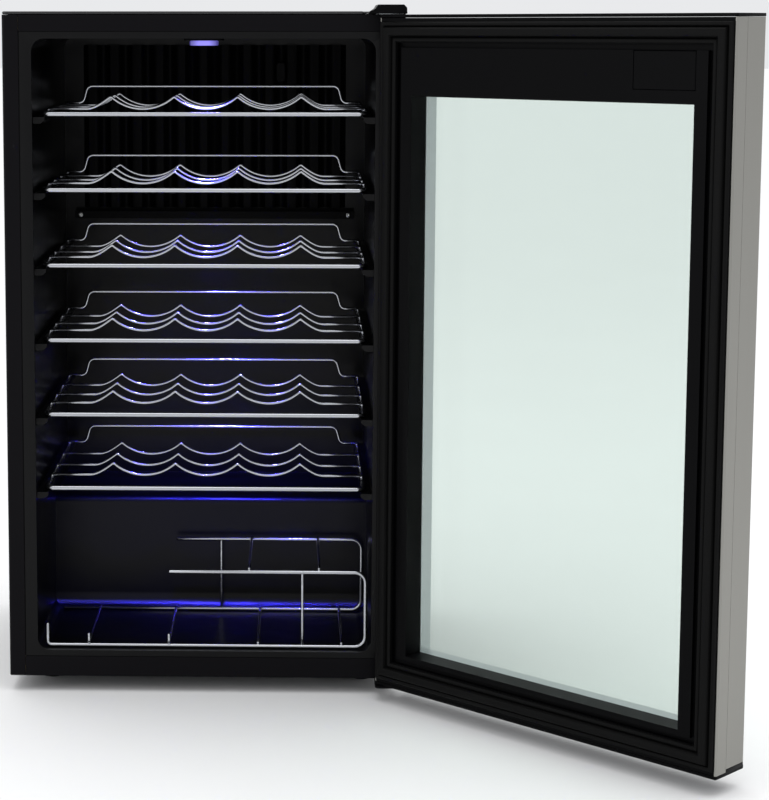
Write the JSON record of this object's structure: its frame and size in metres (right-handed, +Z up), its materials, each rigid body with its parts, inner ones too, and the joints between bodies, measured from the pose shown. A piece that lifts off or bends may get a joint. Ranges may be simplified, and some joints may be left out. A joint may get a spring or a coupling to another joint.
{
  "type": "wine cooler",
  "caption": "Free-standing compressor wine cooler with a hinged glass door, sliding wire bottle racks and a pull-out wire bottle basket.",
  "frame": {"origin": "middle of the rest pose's footprint on the floor, with the door open. The cabinet's own centre line is at X = -0.1820 m and its front plane at Y = -0.0262 m; the door's hinge line is at X = 0.0450 m, Y = -0.0475 m", "axes": "+X to the right seen from the front, +Y from the front towards the back of the cabinet, +Z up"},
  "size_m": [0.844, 0.7556, 0.8405],
  "materials": {
    "black_enamelled_steel": "satin",
    "black_lid_plastic": "satin",
    "galvanised_steel": "satin",
    "aluminium": "satin",
    "foam": "matte",
    "stainless_steel": "satin",
    "chrome_wire": "polished",
    "clear_glass": "polished",
    "copper": "satin",
    "black_rubber": "matte",
    "lamp_lens": "gloss",
    "liner_plastic": "gloss",
    "black_plastic": "satin"
  },
  "bodies": {
    "cabinet": {"side_panel_left": "black_enamelled_steel", "side_panel_right": "black_enamelled_steel", "top_skin": "black_enamelled_steel", "top_lid": "black_lid_plastic", "base_pan": "black_enamelled_steel", "back_panel": "galvanised_steel", "bay_panel": "galvanised_steel", "inner_liner": "liner_plastic", "insulation_foam": "foam", "evaporator_plate": "aluminium", "drip_gutter": "black_plastic", "sensor_cover": "black_plastic", "lamp_housing": "black_plastic", "lamp_lens": "lamp_lens", "compressor": "black_enamelled_steel", "compressor_mount_front_left": "black_rubber", "compressor_mount_front_right": "black_rubber", "compressor_mount_rear_left": "black_rubber", "compressor_mount_rear_right": "black_rubber", "relay_box": "black_plastic", "drain_tray": "black_plastic", "discharge_pipe": "copper", "suction_pipe": "copper", "filter_drier": "copper", "control_board_box": "black_plastic", "cable_gland": "black_plastic", "hinge_bracket_top": "galvanised_steel", "hinge_pin_top": "chrome_wire", "hinge_cover": "black_plastic", "hinge_bracket_bottom": "black_enamelled_steel", "foot_rear_left": "black_rubber", "foot_rear_right": "black_rubber"},
    "door": {"door_stile_handle_side": "stainless_steel", "door_stile_hinge_side": "stainless_steel", "door_rail_top": "stainless_steel", "door_rail_bottom": "stainless_steel", "door_edge_band_handle_side": "stainless_steel", "door_edge_band_hinge_side": "stainless_steel", "door_cap_top": "black_plastic", "door_cap_bottom": "black_plastic", "hinge_bush_top": "black_plastic", "hinge_bush_bottom": "black_plastic", "outer_pane": "clear_glass", "inner_pane": "clear_glass", "glass_spacer": "aluminium", "door_inner_frame": "black_plastic", "control_module": "black_plastic", "door_gasket": "black_rubber", "handle_bar": "stainless_steel", "handle_post_lower": "stainless_steel", "handle_post_upper": "stainless_steel"},
    "rack_1": {"rack_1": "chrome_wire"},
    "rack_2": {"rack_2": "chrome_wire"},
    "rack_3": {"rack_3": "chrome_wire"},
    "rack_4": {"rack_4": "chrome_wire"},
    "rack_5": {"rack_5": "chrome_wire"},
    "rack_6": {"rack_6": "chrome_wire"},
    "basket": {"bottle_basket": "chrome_wire"},
    "levelling_foot_left": {"foot_front_left": "black_rubber"},
    "levelling_foot_right": {"foot_front_right": "black_rubber"}
  },
  "joints": [
    {"name": "door_hinge", "type": "hinge", "parent": "cabinet", "child": "door", "pos_m": [0.04504, -0.04753, 0], "axis": [0, 0, 1], "range_deg": [-136.8, 0]},
    {"name": "rack_1_slide", "type": "slide", "parent": "cabinet", "child": "rack_1", "axis": [0, -1, 0], "range_m": [0, 0.2]},
    {"name": "rack_2_slide", "type": "slide", "parent": "cabinet", "child": "rack_2", "axis": [0, -1, 0], "range_m": [0, 0.2]},
    {"name": "rack_3_slide", "type": "slide", "parent": "cabinet", "child": "rack_3", "axis": [0, -1, 0], "range_m": [0, 0.2]},
    {"name": "rack_4_slide", "type": "slide", "parent": "cabinet", "child": "rack_4", "axis": [0, -1, 0], "range_m": [0, 0.2]},
    {"name": "rack_5_slide", "type": "slide", "parent": "cabinet", "child": "rack_5", "axis": [0, -1, 0], "range_m": [0, 0.2]},
    {"name": "rack_6_slide", "type": "slide", "parent": "cabinet", "child": "rack_6", "axis": [0, -1, 0], "range_m": [0, 0.2]},
    {"name": "basket_slide", "type": "slide", "parent": "cabinet", "child": "basket", "axis": [0, -1, 0], "range_m": [0, 0.15]},
    {"name": "foot_left_level", "type": "slide", "parent": "cabinet", "child": "levelling_foot_left", "axis": [0, 0, -1], "range_m": [0, 0.008]},
    {"name": "foot_right_level", "type": "slide", "parent": "cabinet", "child": "levelling_foot_right", "axis": [0, 0, -1], "range_m": [0, 0.008]}
  ]
}
